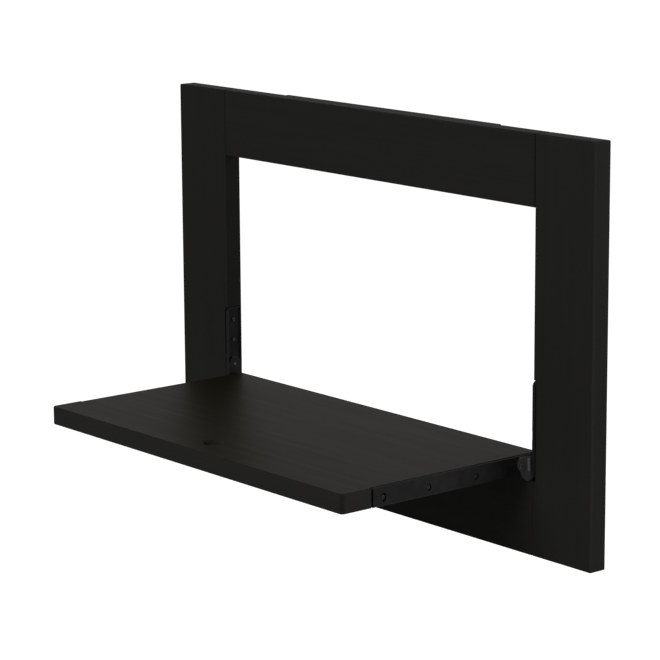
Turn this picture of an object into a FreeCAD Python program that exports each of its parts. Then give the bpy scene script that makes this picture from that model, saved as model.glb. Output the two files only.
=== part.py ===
"""Fold down wall desk: a wide wall frame whose desk leaf folds up, flush, into the frame's opening.

Sizes are millimetres. X runs along the width, Y points into the wall and Z is up.
The origin lies on the wall, midway between the two screw holes of the wall rail.
The leaf is drawn folded down, with the heels of its two arms resting on the stop pins.
"""
import FreeCAD
import Part
import math
import os

# Frame of four eased boards, with the stiles running the full height
frame_width = 900.0
frame_height = 577.0
frame_thickness = 28.0
stile_width = 112.0
top_rail_width = 99.0
bottom_rail_width = 111.5
rail_notch_width = 8.2
rail_notch_depth = 7.5
board_ease = 1.8

# Dowels in the corner joints
dowel_radius = 4.0
dowel_length = 60.0
dowel_edge_inset = 26.0

# Desk leaf, which fills the opening when it is folded up
leaf_thickness = 27.0
leaf_top_height = 141.5
leaf_side_gap = 7.4
leaf_closed_gap = 8.8
leaf_rear_gap = 8.0
leaf_corner_radius = 6.0
leaf_ease = 1.8
finger_hole_radius = 13.5
finger_hole_setback = 43.0
finger_hole_ease = 1.5

# Hanging rails behind the top rail, which hook together on a sloping face
rail_thickness = 10.0
rail_height = 45.0
rail_length = 460.0
rail_drop = 1.0
wall_hole_radius = 2.75
wall_hole_inset = 30.0
wall_sink_radius = 5.5
wall_sink_depth = 3.0
hanging_screw_inset = 65.0
hanging_screw_count = 4

# Rubber bumpers that keep the lower frame plumb
bumper_radius = 12.0
bumper_tip_radius = 10.0
bumper_side_inset = 54.0
bumper_height = 40.0

# Pressed steel channel let into each stile, closed at its top
sheet = 1.5
recess_depth = 3.9
recess_end_gap = 1.5
groove_width = 1.6
groove_depth = 3.0
channel_above = 101.5
channel_below = 36.0
channel_rear_gap = 3.5
channel_corner_radius = 7.0
channel_bend_radius = 0.6
flange_proud = 1.7
flange_foot_above = 30.0
flange_tip_radius = 3.0
lip_above = 20.0
channel_screw_heights = (82.5, 51.0)

# Pivot plate riveted to the channel, which carries the pivot and the stop pin
plate_thickness = 3.5
plate_ease = 0.6
eye_rise = 13.0
eye_radius = 11.4
eye_rivet_radius = 2.2
pivot_inset = 14.9
pivot_radius = 4.0
pivot_head_radius = 7.0
pivot_head_height = 1.8
washer_radius = 9.0
stop_radius = 3.0
stop_share = 0.65

# Steel arm let into each side of the leaf
arm_depth = 4.4
arm_height = 26.2
arm_setback = 53.0
arm_end_gap = 3.5
arm_cup_radius = 5.6
arm_cup_wall = 1.2
arm_cup_rise = 3.5
arm_screw_shares = (0.939, 0.668, 0.377)
arm_screw_drop = 1.8

# Ear plate riveted to each arm, whose heel rests on the stop pin
ear_thickness = 3.0
ear_reach = 28.5
ear_rise = 3.2
ear_radius = 8.8
heel_reach = 15.1
heel_drop = 11.8
heel_radius = 10.8
ear_rivet_reach = 29.6
ear_rivet_radius = 2.6
ear_rivet_head_radius = 3.8
ear_rivet_head_height = 1.4
ear_rivet_bore_radius = 1.2
ear_rivet_bore_depth = 1.2
ear_rivet_tail = 1.2
rib_reach = 15.9
rib_radius = 3.4
rib_height = 1.8
rib_length = 21.0
rib_top_gap = 0.5

# Screws
screw_radius = 2.0
screw_length = 18.0
screw_tip = 4.0
screw_point_radius = 0.4
pan_radius = 3.0
pan_height = 1.8
pan_ease = 0.8
sunk_radius = 3.9
sunk_depth = 2.2
cross_width = 0.9
cross_depth = 0.9
cross_reach = 1.8

# Clearances
fit = 0.05
running_gap = 0.3
stop_gap = 0.2
overrun = 1.0
parallel_share = 0.999

# Levels and planes that several pieces share
frame_back = -rail_thickness
frame_front = frame_back - frame_thickness
frame_mid = (frame_back + frame_front) / 2
hook_low = (rail_height - rail_thickness) / 2
frame_top = hook_low + rail_height + rail_drop
frame_bottom = frame_top - frame_height
opening_top = frame_top - top_rail_width
opening_bottom = frame_bottom + bottom_rail_width
opening_half = frame_width / 2 - stile_width
leaf_top = frame_bottom + leaf_top_height
leaf_bottom = leaf_top - leaf_thickness
leaf_half = opening_half - leaf_side_gap
pivot_y = frame_back - pivot_inset
pivot_z = leaf_bottom + (pivot_y - frame_front)
leaf_rear = frame_back - leaf_rear_gap
leaf_front = pivot_y - (opening_top - leaf_closed_gap - pivot_z)
eye_z = leaf_top + eye_rise

# Layers of a bracket, from the stile inwards
web_outer = opening_half + recess_depth
web_inner = web_outer - sheet
plate_inner = web_inner - plate_thickness
flange_edge = opening_half - flange_proud
arm_outer = leaf_half
arm_inner = arm_outer - sheet
ear_outer = arm_outer + ear_thickness
rebate_floor = leaf_half - arm_depth
cup_floor = rebate_floor + sheet

# Outline of a bracket
channel_rear = frame_back - channel_rear_gap
channel_mid = (frame_front + channel_rear) / 2
channel_half = (channel_rear - frame_front) / 2
channel_top = leaf_top + channel_above
channel_bottom = leaf_top - channel_below
flange_foot = leaf_top + flange_foot_above
web_foot = channel_bottom + channel_half
arm_front = leaf_front + arm_setback
arm_low = pivot_z - arm_height / 2
arm_high = pivot_z + arm_height / 2
arm_screw_z = pivot_z - arm_screw_drop
heel_y = pivot_y - heel_reach
heel_z = pivot_z - heel_drop
heel_span = math.hypot(heel_reach, heel_drop)
stop_offset = heel_radius + stop_radius + stop_gap
stop_y = heel_y + heel_reach * stop_share + stop_offset * heel_drop / heel_span
stop_z = heel_z + heel_drop * stop_share - stop_offset * heel_reach / heel_span
ear_rivet_y = pivot_y - ear_rivet_reach

ALONG_X = FreeCAD.Vector(1, 0, 0)
ALONG_Y = FreeCAD.Vector(0, 1, 0)
ALONG_Z = FreeCAD.Vector(0, 0, 1)
ORIGIN = FreeCAD.Vector(0, 0, 0)


def box(x_span, y_span, z_span):
    """Box between the low and high value of each span."""
    low = FreeCAD.Vector(x_span[0], y_span[0], z_span[0])
    sizes = [span[1] - span[0] for span in (x_span, y_span, z_span)]
    return Part.makeBox(*sizes, low)


def rod_x(x_span, y, z, radius):
    """Round rod along X."""
    return Part.makeCylinder(radius, x_span[1] - x_span[0], FreeCAD.Vector(x_span[0], y, z), ALONG_X)


def rod_y(x, y_span, z, radius):
    """Round rod along Y."""
    return Part.makeCylinder(radius, y_span[1] - y_span[0], FreeCAD.Vector(x, y_span[0], z), ALONG_Y)


def belt(x_span, first, first_radius, second, second_radius):
    """Plate across X whose outline is two discs and the tangents that join them."""
    across = second[0] - first[0]
    rise = second[1] - first[1]
    heading = math.atan2(rise, across)
    lean = math.acos((first_radius - second_radius) / math.hypot(across, rise))

    def rim(centre, radius, angle):
        y = centre[0] + radius * math.cos(angle)
        z = centre[1] + radius * math.sin(angle)
        return FreeCAD.Vector(x_span[0], y, z)

    first_up = rim(first, first_radius, heading + lean)
    first_far = rim(first, first_radius, heading + math.pi)
    first_down = rim(first, first_radius, heading - lean)
    second_up = rim(second, second_radius, heading + lean)
    second_far = rim(second, second_radius, heading)
    second_down = rim(second, second_radius, heading - lean)
    edges = [
        Part.LineSegment(first_up, second_up).toShape(),
        Part.Arc(second_up, second_far, second_down).toShape(),
        Part.LineSegment(second_down, first_down).toShape(),
        Part.Arc(first_down, first_far, first_up).toShape(),
    ]
    face = Part.Face(Part.Wire(edges))
    return face.extrude(ALONG_X * (x_span[1] - x_span[0]))


def pill(x_span, y, z, radius, rise):
    """Upright pill across X, or a round rod where it has no rise."""
    if rise == 0:
        return rod_x(x_span, y, z, radius)
    return belt(x_span, (y, z - rise / 2), radius, (y, z + rise / 2), radius)


def edges_along(shape, direction):
    """Straight edges of a shape that run along a direction."""
    found = []
    for edge in shape.Edges:
        straight = isinstance(edge.Curve, Part.Line)
        if straight and abs(edge.Curve.Direction.dot(direction)) > parallel_share:
            found.append(edge)
    return found


def mirrored(shape):
    """The same piece for the other side of the desk."""
    return shape.mirror(ORIGIN, ALONG_X)


def board(x_span, y_span, z_span):
    """Timber board with every edge eased."""
    plain = box(x_span, y_span, z_span)
    return plain.makeFillet(board_ease, plain.Edges)


def cross_recess(tip):
    """Cross-shaped driver recess that opens at a screw head's tip, for a screw along X."""
    reach = (-cross_reach, cross_reach)
    slim = (-cross_width / 2, cross_width / 2)
    depth = (tip - overrun, tip + cross_depth)
    return box(depth, reach, slim).fuse(box(depth, slim, reach))


def shank():
    """Screw shank along X from the underside of the head, with its pointed tip."""
    straight = screw_length - screw_tip
    body = rod_x((0, straight), 0, 0, screw_radius)
    shoulder = FreeCAD.Vector(straight, 0, 0)
    point = Part.makeCone(screw_radius, screw_point_radius, screw_tip, shoulder, ALONG_X)
    return body.fuse(point)


def pan_screw():
    """Pan-head screw along X, with the underside of its head at zero."""
    head = rod_x((-pan_height, 0), 0, 0, pan_radius)
    crown = [edge for edge in head.Edges if edge.CenterOfMass.x < -pan_height / 2 and edge.Closed]
    head = head.makeFillet(pan_ease, crown)
    return head.fuse(shank()).cut(cross_recess(-pan_height)).removeSplitter()


def sunk_screw():
    """Countersunk screw along X, with the top of its head at zero."""
    head = Part.makeCone(sunk_radius, screw_radius, sunk_depth, ORIGIN, ALONG_X)
    return head.fuse(shank()).cut(cross_recess(0)).removeSplitter()


def sunk_room():
    """Room that a countersunk screw takes in the pieces it passes through."""
    mouth = sunk_radius + fit
    throat = screw_radius + fit
    cone = Part.makeCone(mouth, throat, sunk_depth, ORIGIN, ALONG_X)
    return cone.fuse(rod_x((0, screw_length + overrun), 0, 0, throat))


def placed(shape, x, y, z, turn=0):
    """Copy of a piece drawn along X, turned about Z in degrees and moved to a point."""
    copy = shape.copy()
    copy.rotate(ORIGIN, ALONG_Z, turn)
    copy.translate(FreeCAD.Vector(x, y, z))
    return copy


def dowel_places():
    """Height of each dowel in the right-hand corner joints."""
    lower_edges = (frame_bottom, opening_top)
    upper_edges = (opening_bottom, frame_top)
    low = [edge + dowel_edge_inset for edge in lower_edges]
    high = [edge - dowel_edge_inset for edge in upper_edges]
    return low + high


def dowel_span(length):
    """X span of a dowel, or of its hole, across the right-hand joint."""
    return (opening_half - length / 2, opening_half + length / 2)


def dowel_holes():
    """Holes for all dowels of the right-hand joints."""
    span = dowel_span(dowel_length + overrun)
    holes = [rod_x(span, frame_mid, z, dowel_radius + fit) for z in dowel_places()]
    return Part.makeCompound(holes)


def frame_dowels():
    """The dowels of both sides, as one group."""
    right = [rod_x(dowel_span(dowel_length), frame_mid, z, dowel_radius) for z in dowel_places()]
    return Part.makeCompound(right + [mirrored(dowel) for dowel in right])


def right_stile():
    """Stile with the recess for its channel, a groove beside it, the dowel holes and the screw holes."""
    body = board((opening_half, frame_width / 2), (frame_front, frame_back), (frame_bottom, frame_top))
    z_span = (channel_bottom - recess_end_gap, channel_top + recess_end_gap)
    y_span = (frame_front - overrun, channel_rear + running_gap)
    recess = box((opening_half - overrun, web_outer), y_span, z_span)
    groove_x = (web_outer - fit, web_outer + groove_width)
    groove = box(groove_x, (frame_front - overrun, frame_front + groove_depth), z_span)
    pilot_end = web_inner + screw_length + overrun
    pilots = [
        rod_x((web_inner, pilot_end), pivot_y, leaf_top + height, screw_radius + fit)
        for height in channel_screw_heights
    ]
    return body.cut([recess.fuse(groove), dowel_holes()] + pilots)


def top_rail():
    """Rail between the stiles, above the opening."""
    body = board((-opening_half, opening_half), (frame_front, frame_back), (opening_top, frame_top))
    return body.cut([dowel_holes(), mirrored(dowel_holes())] + hanging_screw_rooms())


def bottom_rail():
    """Rail between the stiles, below the leaf, with a notch at each end for the bracket."""
    body = board((-opening_half, opening_half), (frame_front, frame_back), (frame_bottom, opening_bottom))
    notch = box(
        (opening_half - rail_notch_width, opening_half + overrun),
        (frame_front - overrun, frame_back + overrun),
        (opening_bottom - rail_notch_depth, opening_bottom + overrun),
    )
    return body.cut([dowel_holes(), mirrored(dowel_holes()), notch, mirrored(notch)])


def hanging_screw_places():
    """X and Z of each screw that holds the hanging rail on the top rail."""
    first = hanging_screw_inset - rail_length / 2
    step = -first * 2 / (hanging_screw_count - 1)
    height = hook_low + rail_height - (rail_height - rail_thickness) / 2
    return [(first + step * place, height) for place in range(hanging_screw_count)]


def hanging_screw_rooms():
    """Room for the screws of the hanging rail."""
    return [placed(sunk_room(), x, 0, z, turn=-90) for x, z in hanging_screw_places()]


def hanging_rail_screws():
    """Countersunk screws of the hanging rail, as one group."""
    screws = [placed(sunk_screw(), x, 0, z, turn=-90) for x, z in hanging_screw_places()]
    return Part.makeCompound(screws)


def rail_bar(section):
    """Bar along X with a given section of Y and Z points."""
    corners = [FreeCAD.Vector(-rail_length / 2, y, z) for y, z in section]
    face = Part.Face(Part.makePolygon(corners + corners[:1]))
    return face.extrude(ALONG_X * rail_length)


def hanging_rail():
    """Rail on the back of the frame, whose lower edge hooks behind the wall rail."""
    top = hook_low + rail_height
    section = [(0, top), (frame_back, top), (frame_back, hook_low + rail_thickness), (0, hook_low)]
    return rail_bar(section).cut(hanging_screw_rooms())


def wall_rail():
    """Rail on the wall, with the two countersunk holes that hold the desk up."""
    low = -hook_low
    section = [(0, hook_low), (frame_back, hook_low + rail_thickness), (frame_back, low), (0, low)]
    bar = rail_bar(section)
    hole_x = rail_length / 2 - wall_hole_inset
    for x in (-hole_x, hole_x):
        hole = rod_y(x, (frame_back - overrun, overrun), 0, wall_hole_radius)
        mouth = FreeCAD.Vector(x, frame_back, 0)
        sink = Part.makeCone(wall_sink_radius, wall_hole_radius, wall_sink_depth, mouth, ALONG_Y)
        bar = bar.cut([hole, sink])
    return bar


def wall_bumpers():
    """Two tapered rubber bumpers between the lower frame and the wall."""
    x = frame_width / 2 - bumper_side_inset
    base = FreeCAD.Vector(x, frame_back, frame_bottom + bumper_height)
    right = Part.makeCone(bumper_radius, bumper_tip_radius, rail_thickness, base, ALONG_Y)
    return Part.makeCompound([right, mirrored(right)])


def desk_leaf():
    """Leaf with rounded front corners, eased edges, the finger hole and a rebate for each arm."""
    body = box((-leaf_half, leaf_half), (leaf_front, leaf_rear), (leaf_bottom, leaf_top))
    corners = [edge for edge in edges_along(body, ALONG_Z) if edge.CenterOfMass.y < pivot_y]
    body = body.makeFillet(leaf_corner_radius, corners)
    level = [edge for edge in body.Edges if edge.BoundBox.ZLength < leaf_ease]
    body = body.makeFillet(leaf_ease, level)
    foot = FreeCAD.Vector(0, leaf_front + finger_hole_setback, leaf_bottom - overrun)
    body = body.cut(Part.makeCylinder(finger_hole_radius, leaf_thickness + overrun + overrun, foot))
    rims = [edge for edge in body.Edges if edge.Closed and isinstance(edge.Curve, Part.Circle)]
    body = body.makeFillet(finger_hole_ease, rims)
    rebate = box(
        (rebate_floor, leaf_half + overrun),
        (arm_front - arm_end_gap, leaf_rear + overrun),
        (leaf_bottom - overrun, leaf_top + overrun),
    )
    pilot_span = (cup_floor - screw_length - overrun, cup_floor)
    rooms = [rod_x(pilot_span, y, arm_screw_z, screw_radius + fit) for y in arm_screw_places()]
    rooms.append(rebate)
    return body.cut(rooms + [mirrored(room) for room in rooms])


def tray_block(x_span, y_span, z_span, corner_radius, bend_radius):
    """Block with a round upper front corner, and a bend along its front and top to its outer face."""
    body = box(x_span, y_span, z_span)
    middle = (z_span[0] + z_span[1]) / 2
    corners = [
        edge for edge in edges_along(body, ALONG_X)
        if edge.CenterOfMass.z > middle and edge.CenterOfMass.y < y_span[1] - fit
    ]
    body = body.makeFillet(corner_radius, corners)
    outer_edges = [edge for edge in body.Edges if edge.BoundBox.XMin > x_span[1] - fit]
    upper_edges = [edge for edge in outer_edges if edge.BoundBox.ZMax > middle]
    bends = [edge for edge in upper_edges if edge.BoundBox.YMin < y_span[1] - fit]
    return body.makeFillet(bend_radius, bends)


def pressed_channel():
    """Web with a flange along its front and its top, and the lower tip of the front flange rounded."""
    outer = tray_block(
        (flange_edge, web_outer),
        (frame_front, channel_rear),
        (flange_foot, channel_top),
        channel_corner_radius,
        channel_bend_radius + sheet,
    )
    inner = tray_block(
        (flange_edge - overrun, web_inner),
        (frame_front + sheet, channel_rear + overrun),
        (flange_foot - overrun, channel_top - sheet),
        channel_corner_radius - sheet,
        channel_bend_radius,
    )
    body = outer.cut(inner)
    tips = [
        edge for edge in edges_along(body, ALONG_Y)
        if edge.BoundBox.XMax < flange_edge + fit and edge.BoundBox.ZMax < flange_foot + fit
    ]
    return body.makeFillet(flange_tip_radius, tips)


def right_stile_channel():
    """Pressed channel in the stile's recess, which runs down as a web with a lip along its front."""
    x_span = (web_inner, web_outer)
    web = box(x_span, (frame_front, channel_rear), (web_foot, flange_foot))
    lip = box((flange_edge, web_outer), (frame_front, frame_front + sheet), (web_foot, leaf_top + lip_above))
    foot = rod_x(x_span, channel_mid, web_foot, channel_half)
    body = web.fuse([lip, foot, pressed_channel()]).removeSplitter()
    through = (web_inner - overrun, web_outer + overrun)
    holes = [
        rod_x(through, pivot_y, leaf_top + height, screw_radius + fit)
        for height in channel_screw_heights
    ]
    holes.append(rod_x(through, pivot_y, eye_z, eye_rivet_radius + fit))
    holes.append(rod_x(through, pivot_y, pivot_z, pivot_radius + fit))
    return body.cut(holes)


def right_pivot_plate():
    """Plate with a round eye above the pivot and a round foot below it."""
    x_span = (plate_inner, web_inner)
    body = belt(x_span, (pivot_y, eye_z), eye_radius, (pivot_y, channel_bottom + eye_radius), eye_radius)
    rim = [edge for edge in body.Edges if edge.BoundBox.XMax < plate_inner + fit]
    body = body.makeFillet(plate_ease, rim)
    through = (plate_inner - overrun, web_inner + overrun)
    holes = [
        rod_x(through, pivot_y, eye_z, eye_rivet_radius + fit),
        rod_x(through, pivot_y, pivot_z, pivot_radius + fit),
        rod_x(through, stop_y, stop_z, stop_radius + fit),
    ]
    return body.cut(holes)


def right_eye_rivet():
    """Flush rivet that holds the pivot plate on the channel."""
    return rod_x((plate_inner, web_outer), pivot_y, eye_z, eye_rivet_radius)


def right_pivot_pin():
    """Pivot pin, flush in the channel's web, with the head that keeps the arm on."""
    head_span = (arm_inner - fit - pivot_head_height, arm_inner - fit)
    head = rod_x(head_span, pivot_y, pivot_z, pivot_head_radius)
    return head.fuse(rod_x((head_span[1], web_outer), pivot_y, pivot_z, pivot_radius)).removeSplitter()


def right_pivot_washer():
    """Thick washer between the ear and the pivot plate."""
    span = (ear_outer + fit, plate_inner)
    ring = rod_x(span, pivot_y, pivot_z, washer_radius)
    return ring.cut(rod_x(span, pivot_y, pivot_z, pivot_radius + fit))


def right_stop_pin():
    """Stop pin in the pivot plate, on which the heel of the ear rests when the leaf is down."""
    return rod_x((arm_outer + running_gap, web_inner), stop_y, stop_z, stop_radius)


def right_bracket_screws():
    """Two pan-head screws through the channel."""
    screws = [placed(pan_screw(), web_inner, pivot_y, leaf_top + height) for height in channel_screw_heights]
    return Part.makeCompound(screws)


def arm_screw_places():
    """Y of each screw along an arm, as shares of the way from the pivot to the arm's front end."""
    return [pivot_y + share * (arm_front - pivot_y) for share in arm_screw_shares]


def arm_cup_rises():
    """Height of each pressed cup beyond a round one: the front cup is an upright slot."""
    return [arm_cup_rise] + [0] * (len(arm_screw_shares) - 1)


def ear_rib():
    """Upright round-ended rib on the outer face of the ear."""
    axis_x = ear_outer + rib_height - rib_radius
    y = pivot_y - rib_reach
    high = pivot_z + heel_radius - rib_top_gap - rib_radius
    low = high - rib_length + rib_radius + rib_radius
    foot = FreeCAD.Vector(axis_x, y, low)
    head = FreeCAD.Vector(axis_x, y, high)
    rod = Part.makeCylinder(rib_radius, high - low, foot)
    rod = rod.fuse([Part.makeSphere(rib_radius, foot), Part.makeSphere(rib_radius, head)]).removeSplitter()
    outside = box(
        (ear_outer - ear_thickness / 2, ear_outer + rib_height + overrun),
        (y - rib_length, y + rib_length),
        (low - rib_length, high + rib_length),
    )
    return rod.common(outside)


def right_arm_ear():
    """Three-cornered plate on the arm's outer face, with a rib, round the pivot, the rivet and the heel."""
    x_span = (arm_outer, ear_outer)
    boss = (pivot_y, pivot_z)
    heel = (heel_y, heel_z)
    ear = (pivot_y - ear_reach, pivot_z + ear_rise)
    body = belt(x_span, ear, ear_radius, heel, heel_radius)
    body = body.fuse([
        belt(x_span, heel, heel_radius, boss, heel_radius),
        belt(x_span, ear, ear_radius, boss, heel_radius),
        ear_rib(),
    ]).removeSplitter()
    through = (arm_outer - overrun, ear_outer + overrun)
    holes = [
        rod_x(through, pivot_y, pivot_z, pivot_radius + fit),
        rod_x(through, ear_rivet_y, pivot_z, ear_rivet_radius + fit),
    ]
    return body.cut(holes)


def right_ear_rivet():
    """Hollow-headed rivet that holds the ear on the arm."""
    head_end = ear_outer + ear_rivet_head_height
    shaft = rod_x((arm_inner - ear_rivet_tail, ear_outer), ear_rivet_y, pivot_z, ear_rivet_radius)
    head = rod_x((ear_outer, head_end), ear_rivet_y, pivot_z, ear_rivet_head_radius)
    middle = ear_outer + ear_rivet_head_height / 2
    crown = [edge for edge in head.Edges if edge.Closed and edge.CenterOfMass.x > middle]
    head = head.makeFillet(ear_rivet_head_height / 2, crown)
    bore_span = (head_end - ear_rivet_bore_depth, head_end + overrun)
    bore = rod_x(bore_span, ear_rivet_y, pivot_z, ear_rivet_bore_radius)
    return shaft.fuse(head).removeSplitter().cut(bore)


def right_leaf_arm():
    """Pressed arm in the leaf's rebate: a channel that opens to the leaf, with a round end at the pivot."""
    body = box((rebate_floor, arm_outer), (arm_front, pivot_y), (arm_low, arm_high))
    bends = [edge for edge in edges_along(body, ALONG_Y) if edge.CenterOfMass.x > arm_inner]
    body = body.makeFillet(sheet, bends)
    hollow = box(
        (rebate_floor - overrun, arm_inner),
        (arm_front - overrun, pivot_y + overrun),
        (arm_low + sheet, arm_high - sheet),
    )
    body = body.cut(hollow).fuse(rod_x((arm_inner, arm_outer), pivot_y, pivot_z, arm_height / 2))
    pockets = []
    for y, rise in zip(arm_screw_places(), arm_cup_rises()):
        body = body.fuse(pill((rebate_floor, arm_inner), y, arm_screw_z, arm_cup_radius, rise))
        pocket_span = (cup_floor, arm_outer + overrun)
        pockets.append(pill(pocket_span, y, arm_screw_z, arm_cup_radius - arm_cup_wall, rise))
        pockets.append(rod_x((rebate_floor - overrun, arm_outer), y, arm_screw_z, screw_radius + fit))
    through = (arm_inner - overrun, arm_outer + overrun)
    pockets.append(rod_x(through, pivot_y, pivot_z, pivot_radius + fit))
    pockets.append(rod_x(through, ear_rivet_y, pivot_z, ear_rivet_radius + fit))
    return body.removeSplitter().cut(pockets)


def right_arm_screws():
    """Pan-head screws that hold the arm on the leaf's side."""
    screws = [placed(pan_screw(), cup_floor, y, arm_screw_z, turn=180) for y in arm_screw_places()]
    return Part.makeCompound(screws)


def build():
    """Every node by name, with the left-hand pieces as mirror images of the right-hand ones."""
    nodes = {
        "top_rail": top_rail(),
        "bottom_rail": bottom_rail(),
        "frame_dowels": frame_dowels(),
        "hanging_rail": hanging_rail(),
        "hanging_rail_screws": hanging_rail_screws(),
        "wall_rail": wall_rail(),
        "wall_bumpers": wall_bumpers(),
        "desk_leaf": desk_leaf(),
    }
    sided = {
        "stile": right_stile(),
        "stile_channel": right_stile_channel(),
        "pivot_plate": right_pivot_plate(),
        "eye_rivet": right_eye_rivet(),
        "pivot_pin": right_pivot_pin(),
        "pivot_washer": right_pivot_washer(),
        "stop_pin": right_stop_pin(),
        "bracket_screws": right_bracket_screws(),
        "leaf_arm": right_leaf_arm(),
        "arm_ear": right_arm_ear(),
        "ear_rivet": right_ear_rivet(),
        "arm_screws": right_arm_screws(),
    }
    for name, shape in sided.items():
        nodes["right_" + name] = shape
        nodes["left_" + name] = mirrored(shape)
    return nodes


os.makedirs("parts", exist_ok=True)
for node_name, node_shape in build().items():
    node_shape.exportStep(os.path.join("parts", node_name + ".step"))
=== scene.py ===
"""Looks of the fold down wall desk: black stained wood, black steel brackets and a white studio."""
import math

import bmesh
import bpy
from mathutils import Matrix, Vector


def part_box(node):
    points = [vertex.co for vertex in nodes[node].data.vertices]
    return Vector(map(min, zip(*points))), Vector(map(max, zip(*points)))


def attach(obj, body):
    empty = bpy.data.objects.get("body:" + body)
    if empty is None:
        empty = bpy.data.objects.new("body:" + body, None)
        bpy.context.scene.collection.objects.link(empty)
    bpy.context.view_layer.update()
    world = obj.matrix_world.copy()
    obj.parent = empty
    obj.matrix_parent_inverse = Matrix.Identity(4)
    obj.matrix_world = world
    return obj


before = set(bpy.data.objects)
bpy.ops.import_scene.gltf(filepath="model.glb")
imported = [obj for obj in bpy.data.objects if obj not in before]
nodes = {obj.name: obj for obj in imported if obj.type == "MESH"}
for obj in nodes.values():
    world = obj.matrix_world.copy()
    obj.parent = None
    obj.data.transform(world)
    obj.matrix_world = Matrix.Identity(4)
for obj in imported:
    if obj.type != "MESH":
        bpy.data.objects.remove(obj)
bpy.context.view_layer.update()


def grey(level):
    """Neutral colour."""
    return (level, level, level, 1.0)


WHITE = grey(1.0)
BLACK = grey(0.0)

# Camera: place in metres, angles in degrees, lens and sensor in millimetres
CAMERA_PLACE = Vector((2.9413, -2.5280, 0.5365))
CAMERA_PAN = 50.607
CAMERA_TILT = 11.566
CAMERA_ROLL = -0.353
CAMERA_LENS = 149.83
SENSOR_WIDTH = 36.0

# Studio: metres, degrees and watts, with the leaf's top at the desk's height above the floor
DESK_HEIGHT = 0.75
FLOOR_HALF = 40.0
VIEW_REACH = 160.0
FLOOR_COLOR = grey(0.6)
FLOOR_GLOW = 0.86
WORLD_FILL = 0.30
SUN_FROM = Vector((0.10, -0.20, 0.97))
SUN_STRENGTH = 0.06
SUN_SPREAD = 50.0
FRONT_BOX = {
    "place": Vector((0.3, -2.2, 0.9)),
    "aim": Vector((0.1, -0.05, -0.2)),
    "width": 1.4,
    "height": 1.0,
    "power": 46.0,
}
RIGHT_BOX = {
    "place": Vector((2.6, 1.6, 0.25)),
    "aim": Vector((0.2, -0.1, -0.25)),
    "width": 1.6,
    "height": 1.6,
    "power": 76.0,
}

# Noise textures: scale, detail and roughness
FIGURE_NOISE = (85.0, 3.0, 0.55)
FIBRE_NOISE = (520.0, 2.0, 0.6)
TONE_NOISE = (7.0, 2.0, 0.5)
DOWEL_NOISE = (520.0, 3.0, 0.5)
PEEL_NOISE = (900.0, 2.0, 0.5)
PATCH_NOISE = (45.0, 3.0, 0.5)
SCUFF_NOISE = (1400.0, 3.0, 0.6)
STAIN_NOISE = (160.0, 3.0, 0.5)
POLYMER_NOISE = (700.0, 3.0, 0.5)

# Scale of a noise along the way that it is drawn out
FIGURE_STRETCH = 0.045
FIBRE_STRETCH = 0.012
TONE_STRETCH = 0.3
SCUFF_STRETCH = 0.15

# Spans that values are mapped from and to
RISE = (0.0, 1.0)
FADE = (1.0, 0.0)
NOISE_SPAN = (0.3, 0.7)
FIBRE_RUB_SPAN = (0.35, 0.75)
STAIN_SPAN = (0.35, 0.65)

# Heights of the bumps, in metres
WOOD_BUMP = 0.00005
DOWEL_BUMP = 0.00008
PEEL_BUMP = 0.00006
SCUFF_BUMP = 0.00002
POLYMER_BUMP = 0.00004

# Boards: the axis of the grain, and an offset in the noise that sets each board apart
BOARDS = {
    "top_rail": ("X", (0.0, 0.09, 0.05)),
    "bottom_rail": ("X", (0.4, 0.07, 0.46)),
    "right_stile": ("Z", (-0.34, 0.11, 0.2)),
    "left_stile": ("Z", (0.45, 0.08, -0.3)),
    "desk_leaf": ("X", (0.7, 0.19, 0.46)),
    "hanging_rail": ("X", (0.2, 0.04, 0.03)),
    "wall_rail": ("X", (0.9, 0.05, -0.02)),
}

# Stained wood: grain colours, specular level, and painted shade on the upper face with its share
FRAME_FINISH = {
    "dark": (0.0108, 0.0107, 0.0097, 1.0),
    "light": (0.0132, 0.0130, 0.0117, 1.0),
    "sheen": 0.0052,
    "top_shade": BLACK,
    "top_shade_share": 0.6,
}
LEAF_FINISH = {
    "dark": (0.0087, 0.0086, 0.0078, 1.0),
    "light": (0.0106, 0.0104, 0.0094, 1.0),
    "sheen": 0.0155,
    "top_shade": (0.0036, 0.0028, 0.0002, 1.0),
    "top_shade_share": 0.8,
}
WOOD_ROUGHNESS = (0.50, 0.44)
FIGURE_SHARE = 0.55
FIBRE_SHARE = 0.45
TONE_SHARE = (0.0, 0.35)
EDGE_REACH = 0.0026
EDGE_SHARE = (0.05, 0.3)
EDGE_GAIN = 2.0
# Painted light and shade on faces: how far in from a face it fades, the share of painted shade on a stile's
# inner face and the share of painted light on the leaf's sides
PAINTED_FACE_DEPTH = 0.0006
INNER_SHADE_SHARE = 0.33
LEAF_SIDE_LIGHT_SHARE = 0.8
# Painted shade in the top rail's end joints: where it starts, where it is full, and its share
JOINT_REACH = 0.0036
JOINT_FULL = 0.0012
JOINT_SHADE_SHARE = 0.42
# Painted highlight along a stile's outer front arris: radius, fade and colour
ARRIS_RADIUS = 0.0012
ARRIS_HIGHLIGHT_FADE = 0.0016
ARRIS_HIGHLIGHT_COLOR = (0.0170, 0.0168, 0.0151, 1.0)
# Painted light in and round the leaf's finger hole: its place, radius, fade and colour
HOLE_SETBACK = 0.043
HOLE_RADIUS = 0.0135
HOLE_LIGHT_FADE = 0.0005
HOLE_LIGHT_COLOR = (0.0140, 0.0137, 0.0122, 1.0)
DOWEL_DARK = (0.42, 0.29, 0.17, 1.0)
DOWEL_LIGHT = (0.6, 0.44, 0.28, 1.0)
DOWEL_ROUGHNESS = 0.6

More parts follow.
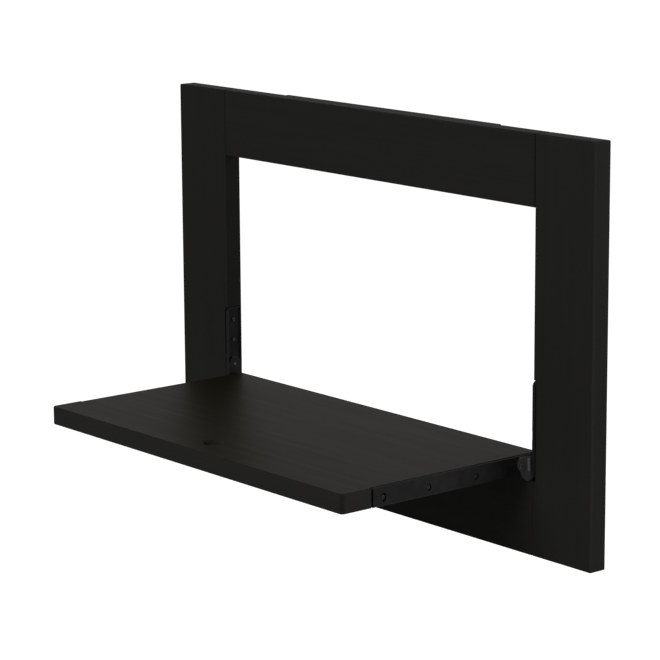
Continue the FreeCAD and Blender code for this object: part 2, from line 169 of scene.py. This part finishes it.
# Coated steel: colour, specular level and roughness
CHANNEL_FINISH = (grey(0.0034), 0.02, 0.45)
ARM_FINISH = ((0.0088, 0.0088, 0.0086, 1.0), 0.012, 0.45)
PLATE_FINISH = (grey(0.0034), 0.03, 0.42)
EAR_FINISH = (grey(0.004), 0.02, 0.45)
EAR_RIVET_FINISH = (grey(0.003), 0.05, 0.35)
PATCH_GAIN = 1.5
COATED_UNEVEN = (0.06, 0.06)

# Painted light and highlights on coated steel: how far in from a face each starts and is full, and its
# colour
FLANGE_EDGE_HIGHLIGHT = (0.0018, 0.0010, grey(0.0108))
FLANGE_FRONT_LIGHT = (0.0006, 0.0002, grey(0.0094))
EYE_TOP_HIGHLIGHT = (0.0016, 0.0003, grey(0.03))
EAR_TOP_HIGHLIGHT = (0.0008, 0.0002, (0.05, 0.05, 0.049, 1.0))
EAR_FACE_GREY_AND_LIGHT = (0.0021, 0.0018, (0.072, 0.072, 0.07, 1.0))
EAR_RIB_HIGHLIGHT = (0.0010, 0.0002, (0.13, 0.13, 0.127, 1.0))
RIVET_HEAD_LIGHT = (0.0010, 0.0005, (0.08, 0.08, 0.078, 1.0))
PAINTED_LIGHT_SHARE = (0.7, 1.0)

# Plated steel and polymers: colour and roughness
PIN_FINISH = ((0.022, 0.022, 0.0225, 1.0), 0.36)
SCREW_FINISH = ((0.018, 0.018, 0.0185, 1.0), 0.40)
STAIN_GAIN = 0.6
PLATED_UNEVEN = (0.08, 0.1)
BUMPER_FINISH = (grey(0.012), 0.7)
WASHER_FINISH = (grey(0.02), 0.5)
POLYMER_GAIN = 1.4
POLYMER_UNEVEN = (0.08, 0.08)
POLYMER_LEVEL = 0.3

# Flange bridges, in metres, with the foot and the head above the leaf's top
BRIDGE_FOOT = 0.0200
BRIDGE_HEAD = 0.0330
BRIDGE_DEPTH = 0.0041
BRIDGE_SHEET = 0.0014
BRIDGE_INSET = 0.00005
BRIDGE_EASE = 0.0003
EASE_SEGMENTS = 3
ROUND_PROFILE = 0.5


def new_material(name):
    """Node material, and its tree and Principled shader."""
    material = bpy.data.materials.new(name)
    material.use_nodes = True
    tree = material.node_tree
    return material, tree, tree.nodes["Principled BSDF"]


def add(tree, kind, **settings):
    """Node of a kind, with its properties set."""
    node = tree.nodes.new(kind)
    for key, value in settings.items():
        setattr(node, key, value)
    return node


def math_node(tree, operation, first, second=None):
    """Output of a math node whose inputs are numbers or sockets."""
    node = add(tree, "ShaderNodeMath", operation=operation)
    for place, value in enumerate((first, second)):
        if value is None:
            continue
        if isinstance(value, (int, float)):
            node.inputs[place].default_value = value
        else:
            tree.links.new(value, node.inputs[place])
    return node.outputs[0]


def spread(tree, value, span, result=RISE):
    """Value mapped from one span to another, clamped."""
    node = add(tree, "ShaderNodeMapRange")
    tree.links.new(value, node.inputs["Value"])
    for name, number in zip(("From Min", "From Max", "To Min", "To Max"), span + result):
        node.inputs[name].default_value = number
    return node.outputs["Result"]


def blend_color(tree, factor, first, second):
    """Colour mixed by a factor between two colours or colour sockets."""
    node = add(tree, "ShaderNodeMix", data_type="RGBA")
    tree.links.new(factor, node.inputs["Factor"])
    for name, value in (("A", first), ("B", second)):
        socket = [s for s in node.inputs if s.name == name and s.type == "RGBA"][0]
        if isinstance(value, tuple):
            socket.default_value = value
        else:
            tree.links.new(value, socket)
    return [s for s in node.outputs if s.type == "RGBA"][0]


def scaled(color, gain):
    """Colour times a gain."""
    return tuple(part * gain for part in color[:3]) + (1.0,)


def mapped(tree, scale=(1.0, 1.0, 1.0), offset=(0.0, 0.0, 0.0)):
    """Object coordinates, in metres, scaled and moved."""
    coordinates = add(tree, "ShaderNodeTexCoord")
    mapping = add(tree, "ShaderNodeMapping")
    tree.links.new(coordinates.outputs["Object"], mapping.inputs["Vector"])
    mapping.inputs["Location"].default_value = offset
    mapping.inputs["Scale"].default_value = scale
    return mapping.outputs["Vector"]


def object_axes(tree):
    """X, Y and Z sockets of the object coordinates, in metres."""
    coordinates = add(tree, "ShaderNodeTexCoord")
    parts = add(tree, "ShaderNodeSeparateXYZ")
    tree.links.new(coordinates.outputs["Object"], parts.inputs["Vector"])
    return parts.outputs


def along(axis, stretch):
    """Scale that draws a pattern out along one axis."""
    return tuple(stretch if name == axis else 1.0 for name in "XYZ")


def noise(tree, vector, scale, detail, roughness):
    """Noise texture value."""
    node = add(tree, "ShaderNodeTexNoise")
    tree.links.new(vector, node.inputs["Vector"])
    node.inputs["Scale"].default_value = scale
    node.inputs["Detail"].default_value = detail
    node.inputs["Roughness"].default_value = roughness
    return node.outputs["Fac"]


def bump(tree, shader, height, distance):
    """Bump of a height, in metres, on a shader's normal."""
    node = add(tree, "ShaderNodeBump")
    node.inputs["Distance"].default_value = distance
    tree.links.new(height, node.inputs["Height"])
    tree.links.new(node.outputs["Normal"], shader.inputs["Normal"])


def uneven_roughness(tree, shader, value, base, less_and_more):
    """Roughness that follows a noise, from less than a base to more."""
    less, more = less_and_more
    tree.links.new(spread(tree, value, NOISE_SPAN, (base - less, base + more)), shader.inputs["Roughness"])


def paint(material, amount, color):
    """Colour laid over a material's base colour, as far as an amount says."""
    tree = material.node_tree
    target = tree.nodes["Principled BSDF"].inputs["Base Color"]
    tree.links.new(blend_color(tree, amount, target.links[0].from_socket, color), target)


def edge_nearness(tree, node_name):
    """1 on the edges of a board and 0 from a short way in, from the second smallest depth in its box."""
    low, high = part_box(node_name)
    depths = []
    for axis, place in enumerate(object_axes(tree)):
        middle = (low[axis] + high[axis]) / 2
        half = (high[axis] - low[axis]) / 2
        off = math_node(tree, "ABSOLUTE", math_node(tree, "SUBTRACT", place, middle))
        depths.append(math_node(tree, "SUBTRACT", half, off))
    near = math_node(tree, "MINIMUM", depths[0], depths[1])
    far = math_node(tree, "MAXIMUM", depths[0], depths[1])
    second = math_node(tree, "MAXIMUM", near, math_node(tree, "MINIMUM", far, depths[2]))
    return spread(tree, second, (0.0, EDGE_REACH), FADE)


def face_light_and_shade(material, axis, face, side, color, share):
    """Painted light and shade: a share of a colour on a face that looks along an axis, to its positive or
    negative side.
    """
    tree = material.node_tree
    place = object_axes(tree)[axis]
    depth = math_node(tree, "MULTIPLY", math_node(tree, "SUBTRACT", face, place), side)
    paint(material, spread(tree, depth, (0.0, PAINTED_FACE_DEPTH), (share, 0.0)), color)


def painted_light_round(material, x, y, radius, fade, color):
    """Painted light round an upright line, full within a radius and gone a little further out."""
    tree = material.node_tree
    flat = (1.0, 1.0, 0.0)
    length = add(tree, "ShaderNodeVectorMath", operation="LENGTH")
    tree.links.new(mapped(tree, flat, (-x, -y, 0.0)), length.inputs[0])
    paint(material, spread(tree, length.outputs["Value"], (radius, radius + fade), FADE), color)


def stained_wood(node_name, axis, offset, dark, light, sheen, top_shade, top_shade_share):
    """Black stained softwood: grain along its length, soft tone, rubbed edges and painted shade on its upper
    face.
    """
    material, tree, shader = new_material(node_name + "_wood")
    figure = noise(tree, mapped(tree, along(axis, FIGURE_STRETCH), offset), *FIGURE_NOISE)
    fibres = noise(tree, mapped(tree, along(axis, FIBRE_STRETCH), offset), *FIBRE_NOISE)
    tone = noise(tree, mapped(tree, along(axis, TONE_STRETCH), offset), *TONE_NOISE)

    grain = math_node(tree, "MULTIPLY", figure, FIGURE_SHARE)
    grain = math_node(tree, "ADD", grain, math_node(tree, "MULTIPLY", fibres, FIBRE_SHARE))
    color = blend_color(tree, spread(tree, grain, NOISE_SPAN), dark, light)
    color = blend_color(tree, spread(tree, tone, NOISE_SPAN, TONE_SHARE), color, dark)
    share = spread(tree, fibres, FIBRE_RUB_SPAN, EDGE_SHARE)
    rub = math_node(tree, "MULTIPLY", edge_nearness(tree, node_name), share)
    color = blend_color(tree, rub, color, scaled(light, EDGE_GAIN))

    tree.links.new(color, shader.inputs["Base Color"])
    tree.links.new(spread(tree, grain, NOISE_SPAN, WOOD_ROUGHNESS), shader.inputs["Roughness"])
    shader.inputs["Specular IOR Level"].default_value = sheen
    bump(tree, shader, grain, WOOD_BUMP)
    # Painted shade: the upper face darker, towards the given colour
    face_light_and_shade(material, "Z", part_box(node_name)[1].z, 1, top_shade, top_shade_share)
    return material


def painted_light_from(axis, face, inward, start, full, color):
    """Painted light near a face: its axis, how far from the origin it starts and is full, and its colour."""
    return axis, face + inward * start, face + inward * full, color


def coated_steel(name, color, level, roughness, painted_lights=()):
    """Coated sheet: fine orange peel, a slightly uneven sheen, and painted light and highlights near given
    faces.
    """
    material, tree, shader = new_material(name)
    peel = noise(tree, mapped(tree), *PEEL_NOISE)
    patch = noise(tree, mapped(tree), *PATCH_NOISE)
    shade = blend_color(tree, spread(tree, patch, NOISE_SPAN), color, scaled(color, PATCH_GAIN))
    # Each adds painted light near a face, patchy by the noise
    for axis, start, full, lit_color in painted_lights:
        off = math_node(tree, "ABSOLUTE", object_axes(tree)[axis])
        share = spread(tree, patch, NOISE_SPAN, PAINTED_LIGHT_SHARE)
        amount = math_node(tree, "MULTIPLY", spread(tree, off, (start, full)), share)
        shade = blend_color(tree, amount, shade, lit_color)
    tree.links.new(shade, shader.inputs["Base Color"])
    uneven_roughness(tree, shader, patch, roughness, COATED_UNEVEN)
    shader.inputs["Specular IOR Level"].default_value = level
    bump(tree, shader, peel, PEEL_BUMP)
    return material


def plated_steel(name, color, roughness):
    """Plated metal with fine scuffs."""
    material, tree, shader = new_material(name)
    scuff = noise(tree, mapped(tree, along("Y", SCUFF_STRETCH)), *SCUFF_NOISE)
    stain = noise(tree, mapped(tree), *STAIN_NOISE)
    shade = blend_color(tree, spread(tree, stain, STAIN_SPAN), color, scaled(color, STAIN_GAIN))
    tree.links.new(shade, shader.inputs["Base Color"])
    uneven_roughness(tree, shader, scuff, roughness, PLATED_UNEVEN)
    shader.inputs["Metallic"].default_value = 1.0
    bump(tree, shader, scuff, SCUFF_BUMP)
    return material


def plain_polymer(name, color, roughness):
    """Moulded nylon or rubber with a fine matt grain."""
    material, tree, shader = new_material(name)
    grain = noise(tree, mapped(tree), *POLYMER_NOISE)
    tree.links.new(blend_color(tree, grain, color, scaled(color, POLYMER_GAIN)), shader.inputs["Base Color"])
    uneven_roughness(tree, shader, grain, roughness, POLYMER_UNEVEN)
    shader.inputs["Specular IOR Level"].default_value = POLYMER_LEVEL
    bump(tree, shader, grain, POLYMER_BUMP)
    return material


def bare_wood(name):
    """Plain pale wood with fibres along X, for the hidden dowels."""
    material, tree, shader = new_material(name)
    fibres = noise(tree, mapped(tree, along("X", FIBRE_STRETCH)), *DOWEL_NOISE)
    tree.links.new(blend_color(tree, fibres, DOWEL_DARK, DOWEL_LIGHT), shader.inputs["Base Color"])
    shader.inputs["Roughness"].default_value = DOWEL_ROUGHNESS
    bump(tree, shader, fibres, DOWEL_BUMP)
    return material


def dress(material, names):
    """Puts a material on CAD nodes."""
    for name in names:
        mesh = nodes[name].data
        mesh.materials.clear()
        mesh.materials.append(material)


def both(name):
    """Names of the right-hand and left-hand node of a paired piece."""
    return ["right_" + name, "left_" + name]


def shade_rail_ends(wood, node_name):
    """Painted shade in the open joints at the ends of a rail."""
    low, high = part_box(node_name)
    tree = wood.node_tree
    middle = (low.x + high.x) / 2
    half = (high.x - low.x) / 2
    off = math_node(tree, "ABSOLUTE", math_node(tree, "SUBTRACT", object_axes(tree)["X"], middle))
    paint(wood, spread(tree, off, (half - JOINT_REACH, half - JOINT_FULL), (0.0, JOINT_SHADE_SHARE)), BLACK)


def shade_and_light_stile(wood, node_name, side):
    """Painted shade on the inner face of a stile, and a painted highlight on its outer front arris."""
    low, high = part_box(node_name)
    inner, outer = (low.x, high.x) if side > 0 else (high.x, low.x)
    # Painted shade on the inner face
    face_light_and_shade(wood, "X", inner, -side, BLACK, INNER_SHADE_SHARE)
    # Painted highlight on the outer front arris
    painted_light_round(wood, outer, low.y, ARRIS_RADIUS, ARRIS_HIGHLIGHT_FADE, ARRIS_HIGHLIGHT_COLOR)


def paint_leaf_light(wood):
    """Painted light on the sides of the leaf, and in and round its finger hole."""
    low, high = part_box("desk_leaf")
    # Painted light on both sides of the leaf
    for face, side in ((high.x, 1), (low.x, -1)):
        face_light_and_shade(wood, "X", face, side, FRAME_FINISH["light"], LEAF_SIDE_LIGHT_SHARE)
    # Painted light in and round the finger hole
    painted_light_round(wood, (low.x + high.x) / 2, low.y + HOLE_SETBACK, HOLE_RADIUS, HOLE_LIGHT_FADE, HOLE_LIGHT_COLOR)


def dress_wood():
    """Boards, each with its own grain along its length, and the dowels."""
    woods = {}
    for name, (axis, offset) in BOARDS.items():
        finish = LEAF_FINISH if name == "desk_leaf" else FRAME_FINISH
        woods[name] = stained_wood(name, axis, offset, **finish)
        dress(woods[name], [name])
    shade_rail_ends(woods["top_rail"], "top_rail")
    shade_and_light_stile(woods["right_stile"], "right_stile", 1)
    shade_and_light_stile(woods["left_stile"], "left_stile", -1)
    paint_leaf_light(woods["desk_leaf"])
    dress(bare_wood("dowel_wood"), ["frame_dowels"])


def dress_metal():
    """Black channels, arms, plates and ears, with painted light and highlights on their faces and edges, and
    plated pins and screws.
    """
    channel_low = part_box("right_stile_channel")[0]
    # Painted highlight along the flanges' inner edges and painted light on their front faces
    channel_lights = [
        painted_light_from("X", channel_low.x, 1, *FLANGE_EDGE_HIGHLIGHT),
        painted_light_from("Y", -channel_low.y, -1, *FLANGE_FRONT_LIGHT),
    ]
    dress(coated_steel("channel_steel", *CHANNEL_FINISH, channel_lights), both("stile_channel"))
    dress(coated_steel("arm_steel", *ARM_FINISH), both("leaf_arm"))

    plate_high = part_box("right_pivot_plate")[1]
    # Painted highlight along the top of the plate's eye
    plate_lights = [painted_light_from("Z", -plate_high.z, 1, *EYE_TOP_HIGHLIGHT)]
    dress(coated_steel("plate_steel", *PLATE_FINISH, plate_lights), both("pivot_plate"))

    ear_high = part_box("right_arm_ear")[1]
    # Painted highlight on the ear's top; its outer face lighter, partly its own grey and partly painted
    # light; painted highlight on the crest of its rib
    ear_lights = [
        painted_light_from("Z", -ear_high.z, 1, *EAR_TOP_HIGHLIGHT),
        painted_light_from("X", ear_high.x, -1, *EAR_FACE_GREY_AND_LIGHT),
        painted_light_from("X", ear_high.x, -1, *EAR_RIB_HIGHLIGHT),
    ]
    dress(coated_steel("ear_steel", *EAR_FINISH, ear_lights), both("arm_ear"))

    rivet_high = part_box("right_ear_rivet")[1]
    # Painted light on the face of the rivet head
    rivet_lights = [painted_light_from("X", rivet_high.x, -1, *RIVET_HEAD_LIGHT)]
    dress(coated_steel("ear_rivet_steel", *EAR_RIVET_FINISH, rivet_lights), both("ear_rivet"))

    pins = both("eye_rivet") + both("pivot_pin") + both("stop_pin")
    dress(plated_steel("pin_steel", *PIN_FINISH), pins)
    screws = both("bracket_screws") + both("arm_screws") + ["hanging_rail_screws"]
    dress(plated_steel("screw_steel", *SCREW_FINISH), screws)


def dress_polymer():
    """Rubber bumpers and nylon washers."""
    dress(plain_polymer("bumper_rubber", *BUMPER_FINISH), ["wall_bumpers"])
    dress(plain_polymer("washer_nylon", *WASHER_FINISH), both("pivot_washer"))


def new_object(name, data):
    """Object in the scene that holds a mesh, a lamp or a camera."""
    thing = bpy.data.objects.new(name, data)
    bpy.context.scene.collection.objects.link(thing)
    return thing


def bridge_mesh(name, edge, front, foot, side):
    """Upright strip behind a front plane, from its inner edge outwards, with its long inner edges eased."""
    height = BRIDGE_HEAD - BRIDGE_FOOT
    middle = Vector((edge + side * BRIDGE_DEPTH / 2, front + BRIDGE_SHEET / 2, foot + height / 2))
    spans = Matrix.Diagonal((BRIDGE_DEPTH, BRIDGE_SHEET, height, 1.0))
    shape = bmesh.new()
    bmesh.ops.create_cube(shape, size=1.0, matrix=Matrix.Translation(middle) @ spans)
    eased = [
        line for line in shape.edges
        if all(abs(point.co.x - edge) < BRIDGE_INSET for point in line.verts)
        and line.calc_length() > height / 2
    ]
    bmesh.ops.bevel(
        shape, geom=eased, offset=BRIDGE_EASE, segments=EASE_SEGMENTS, profile=ROUND_PROFILE, affect="EDGES",
    )
    mesh = bpy.data.meshes.new(name)
    shape.to_mesh(mesh)
    shape.free()
    return mesh


def flange_bridges():
    """Short strip on each side that carries the channel's front flange on down to the lip."""
    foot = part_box("desk_leaf")[1].z + BRIDGE_FOOT
    for side, name in ((1, "right"), (-1, "left")):
        low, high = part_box(name + "_stile_channel")
        edge = (low.x if side > 0 else high.x) + side * BRIDGE_INSET
        mesh = bridge_mesh(name + "_flange_bridge", edge, low.y + BRIDGE_INSET, foot, side)
        mesh.materials.append(nodes[name + "_stile_channel"].data.materials[0])
        piece = new_object(name + "_flange_bridge", mesh)
        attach(piece, "frame")


def seen_directly(tree):
    """1 for rays that see the background straight, in a reflection or through glass."""
    path = add(tree, "ShaderNodeLightPath")
    seen = math_node(tree, "MAXIMUM", path.outputs["Is Camera Ray"], path.outputs["Is Glossy Ray"])
    return math_node(tree, "MAXIMUM", seen, path.outputs["Is Transmission Ray"])


def studio_world():
    """White where it is seen, and a plain grey fill where it lights the object."""
    world = bpy.data.worlds.new("studio")
    bpy.context.scene.world = world
    world.use_nodes = True
    tree = world.node_tree
    shader = tree.nodes["Background"]
    shader.inputs["Color"].default_value = WHITE
    tree.links.new(spread(tree, seen_directly(tree), RISE, (WORLD_FILL, 1.0)), shader.inputs["Strength"])


def studio_floor():
    """Pale floor a desk's height below the leaf, white where no shadow falls on it."""
    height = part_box("desk_leaf")[1].z - DESK_HEIGHT
    corners = [
        (-FLOOR_HALF, -FLOOR_HALF, height),
        (FLOOR_HALF, -FLOOR_HALF, height),
        (FLOOR_HALF, FLOOR_HALF, height),
        (-FLOOR_HALF, FLOOR_HALF, height),
    ]
    mesh = bpy.data.meshes.new("floor")
    mesh.from_pydata(corners, [], [(0, 1, 2, 3)])
    floor = new_object("floor", mesh)
    material, tree, shader = new_material("floor_paper")
    shader.inputs["Base Color"].default_value = FLOOR_COLOR
    shader.inputs["Roughness"].default_value = 1.0
    shader.inputs["Specular IOR Level"].default_value = 0.0
    shader.inputs["Emission Color"].default_value = WHITE
    glow = spread(tree, seen_directly(tree), RISE, (0.0, FLOOR_GLOW))
    tree.links.new(glow, shader.inputs["Emission Strength"])
    mesh.materials.append(material)


def facing(direction):
    """Rotation of a lamp that shines along a direction."""
    return direction.to_track_quat("-Z", "Y").to_euler()


def softbox(name, place, aim, width, height, power):
    """Rectangular area light that points at a spot."""
    lamp = bpy.data.lights.new(name, "AREA")
    lamp.shape = "RECTANGLE"
    lamp.size = width
    lamp.size_y = height
    lamp.energy = power
    holder = new_object(name, lamp)
    holder.location = place
    holder.rotation_euler = facing(aim - place)
    holder.visible_camera = False


def studio_lights():
    """Broad soft light from above, a box in front and a box on the right, behind the frame."""
    lamp = bpy.data.lights.new("overhead", "SUN")
    lamp.energy = SUN_STRENGTH
    lamp.angle = math.radians(SUN_SPREAD)
    new_object("overhead", lamp).rotation_euler = facing(-SUN_FROM)
    softbox("front_box", **FRONT_BOX)
    softbox("right_box", **RIGHT_BOX)


def photo_camera():
    """Camera at the photograph's place and angle."""
    pan = math.radians(CAMERA_PAN)
    tilt = math.radians(CAMERA_TILT)
    roll = math.radians(CAMERA_ROLL)
    level_forward = Vector((-math.sin(pan), math.cos(pan), 0.0))
    level_right = Vector((math.cos(pan), math.sin(pan), 0.0))
    zenith = Vector((0.0, 0.0, 1.0))
    forward = level_forward * math.cos(tilt) - zenith * math.sin(tilt)
    level_up = level_forward * math.sin(tilt) + zenith * math.cos(tilt)
    right = level_right * math.cos(roll) + level_up * math.sin(roll)
    up = level_up * math.cos(roll) - level_right * math.sin(roll)
    lens = bpy.data.cameras.new("photo_camera")
    lens.lens = CAMERA_LENS
    lens.sensor_fit = "HORIZONTAL"
    lens.sensor_width = SENSOR_WIDTH
    lens.clip_end = VIEW_REACH
    camera = new_object("photo_camera", lens)
    turn = Matrix((right, up, -forward)).transposed().to_4x4()
    camera.matrix_world = Matrix.Translation(CAMERA_PLACE) @ turn
    bpy.context.scene.camera = camera


dress_wood()
dress_metal()
dress_polymer()
flange_bridges()
studio_world()
studio_floor()
studio_lights()
photo_camera()
bpy.context.scene.view_settings.view_transform = "Standard"
